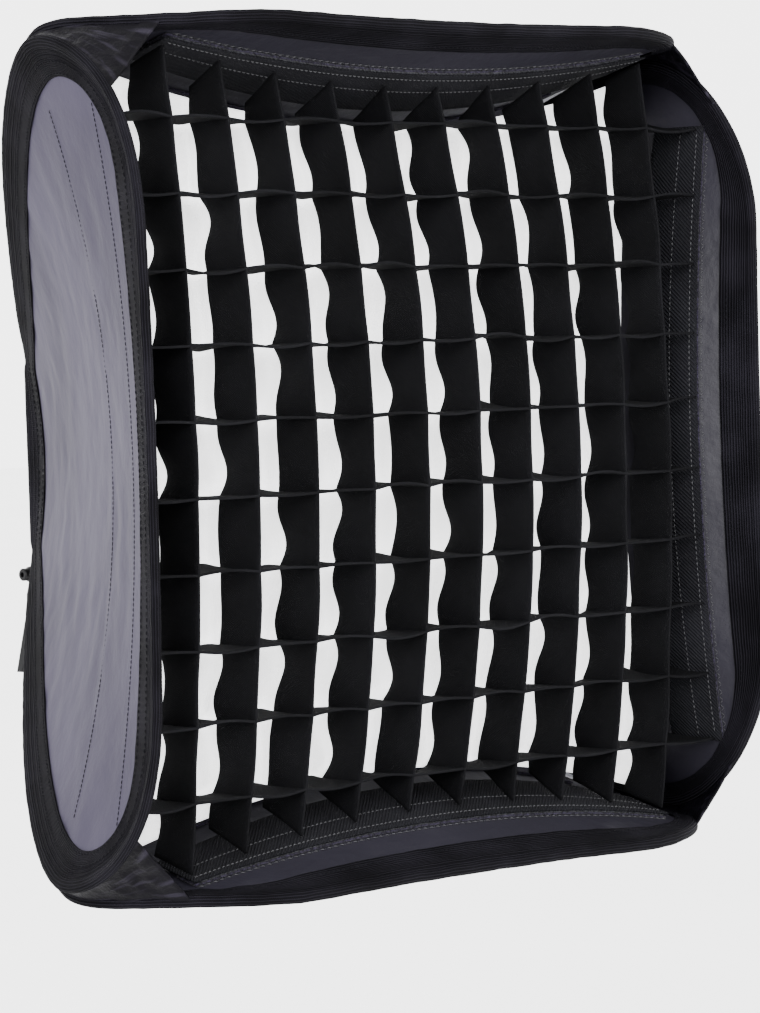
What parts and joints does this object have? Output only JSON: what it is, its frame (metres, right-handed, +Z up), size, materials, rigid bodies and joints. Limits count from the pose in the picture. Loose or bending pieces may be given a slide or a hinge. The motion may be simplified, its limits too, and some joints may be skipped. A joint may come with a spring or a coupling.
{
  "type": "softbox",
  "caption": "Square collapsible softbox with spring-steel hoops, recessed diffuser and fabric egg-crate grid, on a tilting flash bracket with a bayonet ring and a stand socket.",
  "frame": {"origin": "centre of the stand socket's mouth, on the socket's axis", "axes": "+Z up along the stand; the softbox opens towards -Y; +X is on the right of someone facing the opening; the tilt hinge lies along X"},
  "size_m": [0.5864, 0.459, 0.5864],
  "materials": {
    "outer_nylon": "coated nylon, satin",
    "silver_lining": "reflective coated cloth",
    "spring_steel": "bright",
    "binding": "woven tape, stitched",
    "gusset_nylon": "coated nylon, satin",
    "loop_tape": "napped loop tape",
    "hook_tape": "hook tape",
    "diffuser_cloth": "matt translucent cloth",
    "grid_cloth": "matt woven",
    "bare_alloy": "machined",
    "black_alloy": "textured black",
    "zinc_steel": "zinc plated",
    "black_plastic": "moulded, fine grain",
    "lever_plastic": "moulded, fine grain",
    "black_rubber": "matt",
    "brass_tip": "turned"
  },
  "bodies": {
    "receiver": {"stand_receiver": "black_alloy"},
    "stand_lock": {"stand_lock_screw": "zinc_steel", "stand_lock_knob": "black_plastic", "stand_lock_tip": "brass_tip"},
    "head": {"side_panel_top": "outer_nylon", "side_lining_top": "silver_lining", "spring_loop_top": "spring_steel", "loop_sleeve_top": "binding", "side_panel_right": "outer_nylon", "side_lining_right": "silver_lining", "spring_loop_right": "spring_steel", "loop_sleeve_right": "binding", "side_panel_bottom": "outer_nylon", "side_lining_bottom": "silver_lining", "spring_loop_bottom": "spring_steel", "loop_sleeve_bottom": "binding", "side_panel_left": "outer_nylon", "side_lining_left": "silver_lining", "spring_loop_left": "spring_steel", "loop_sleeve_left": "binding", "loop_ferrules": "spring_steel", "corner_gussets": "gusset_nylon", "grid_loop_tape": "loop_tape", "diffuser_loop_tape": "loop_tape", "clamp_ring": "bare_alloy", "rear_collar": "gusset_nylon", "bayonet_ring": "bare_alloy", "ring_screws": "zinc_steel", "ring_housing": "black_alloy", "housing_cover": "black_alloy", "housing_screws": "zinc_steel", "catch_spring": "spring_steel", "front_plate": "black_alloy", "base_shelf": "black_alloy", "top_bridge": "black_alloy", "shelf_pad": "black_rubber", "guide_rods": "zinc_steel", "tilt_bolt": "zinc_steel", "tilt_washer": "zinc_steel"},
    "diffuser": {"front_diffuser": "diffuser_cloth", "diffuser_hook_tape": "hook_tape"},
    "grid": {"upright_slats": "grid_cloth", "level_slats": "grid_cloth", "grid_border": "grid_cloth", "grid_hook_tape": "hook_tape"},
    "catch": {"catch_pin": "zinc_steel", "catch_knob": "black_plastic"},
    "jaw": {"clamp_jaw": "black_alloy", "jaw_pad": "black_rubber"},
    "clamp_spindle": {"clamp_screw": "zinc_steel", "clamp_knob": "black_plastic"},
    "umbrella_lock": {"umbrella_lock_screw": "zinc_steel", "umbrella_lock_knob": "black_plastic"},
    "lever": {"tilt_lever": "lever_plastic", "lever_bush": "zinc_steel", "lever_cap": "zinc_steel"}
  },
  "joints": [
    {"name": "head_tilt", "type": "hinge", "parent": "receiver", "child": "head", "pos_m": [0, 0, 0.066], "axis": [1, 0, 0], "range_deg": [-90, 55]},
    {"name": "stand_lock_turn", "type": "hinge", "parent": "receiver", "child": "stand_lock", "pos_m": [0, 0, 0.018], "axis": [1, 0, 0], "range_deg": [-360, 180]},
    {"name": "umbrella_lock_turn", "type": "hinge", "parent": "head", "child": "umbrella_lock", "pos_m": [0.02, 0, 0.095], "axis": [1, 0, 0], "range_deg": [-360, 180]},
    {"name": "tilt_lever_turn", "type": "hinge", "parent": "head", "child": "lever", "pos_m": [0, 0, 0.066], "axis": [1, 0, 0], "range_deg": [-50, 80]},
    {"name": "clamp_travel", "type": "slide", "parent": "head", "child": "jaw", "axis": [0, 0, 1], "range_m": [-0.02, 0.012]},
    {"name": "clamp_screw_turn", "type": "hinge", "parent": "jaw", "child": "clamp_spindle", "pos_m": [0, 0.008, 0.2], "axis": [0, 0, 1], "range_deg": [-3600.5, 2160.5]},
    {"name": "catch_lift", "type": "slide", "parent": "head", "child": "catch", "axis": [0, 0, 1], "range_m": [0, 0.006], "stiffness_N_per_m": 300, "springref_m": -0.004, "deforming": ["catch_spring"]},
    {"name": "diffuser_release", "type": "slide", "parent": "head", "child": "diffuser", "axis": [0, -1, 0], "range_m": [0, 0.15]},
    {"name": "grid_release", "type": "slide", "parent": "diffuser", "child": "grid", "axis": [0, -1, 0], "range_m": [0, 0.15]}
  ],
  "couplings": [
    {"joint": "clamp_screw_turn", "follows": "clamp_travel", "rad_per_m": 3141.6}
  ]
}
